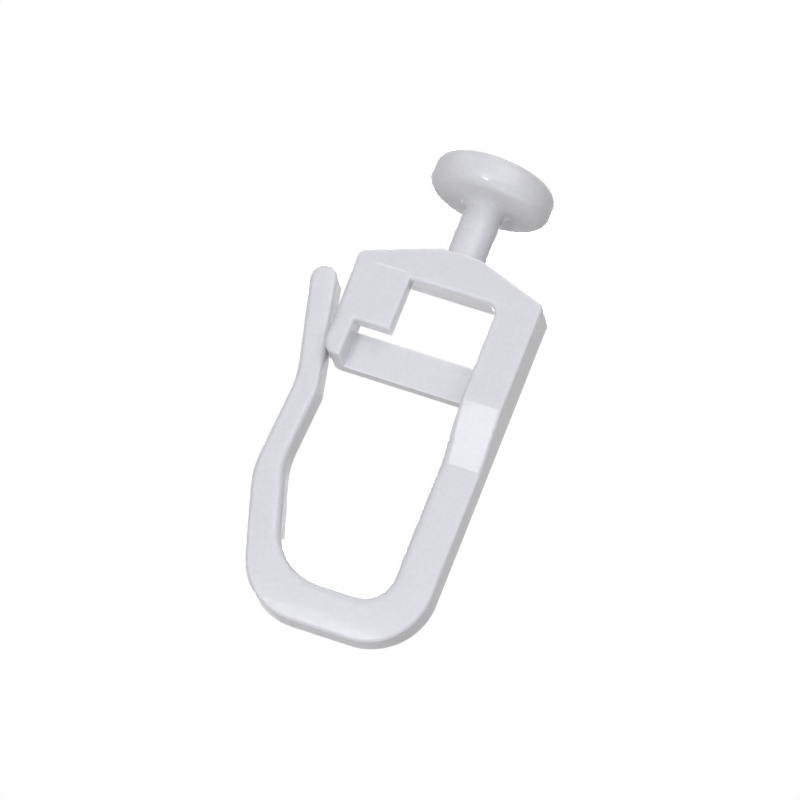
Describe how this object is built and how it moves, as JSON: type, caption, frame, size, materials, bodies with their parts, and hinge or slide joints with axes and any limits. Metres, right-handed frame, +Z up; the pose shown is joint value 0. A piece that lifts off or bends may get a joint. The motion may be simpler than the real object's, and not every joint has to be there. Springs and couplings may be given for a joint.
{
  "type": "curtain glider",
  "caption": "One-piece plastic curtain glider: a round disc head on a stem runs in a rail, and a frame below carries a hook closed by a spring arm.",
  "frame": {"origin": "on the stem's axis at the underside of the head, which rests on the lips of the rail", "axes": "+Z up along the stem, +X along the rail from the spring arm to the leg, +Y toward the flat back"},
  "size_m": [0.0189, 0.01, 0.04],
  "materials": {
    "glider": "semi-gloss moulded white"
  },
  "bodies": {
    "root": {"glider": "glider"}
  },
  "joints": []
}
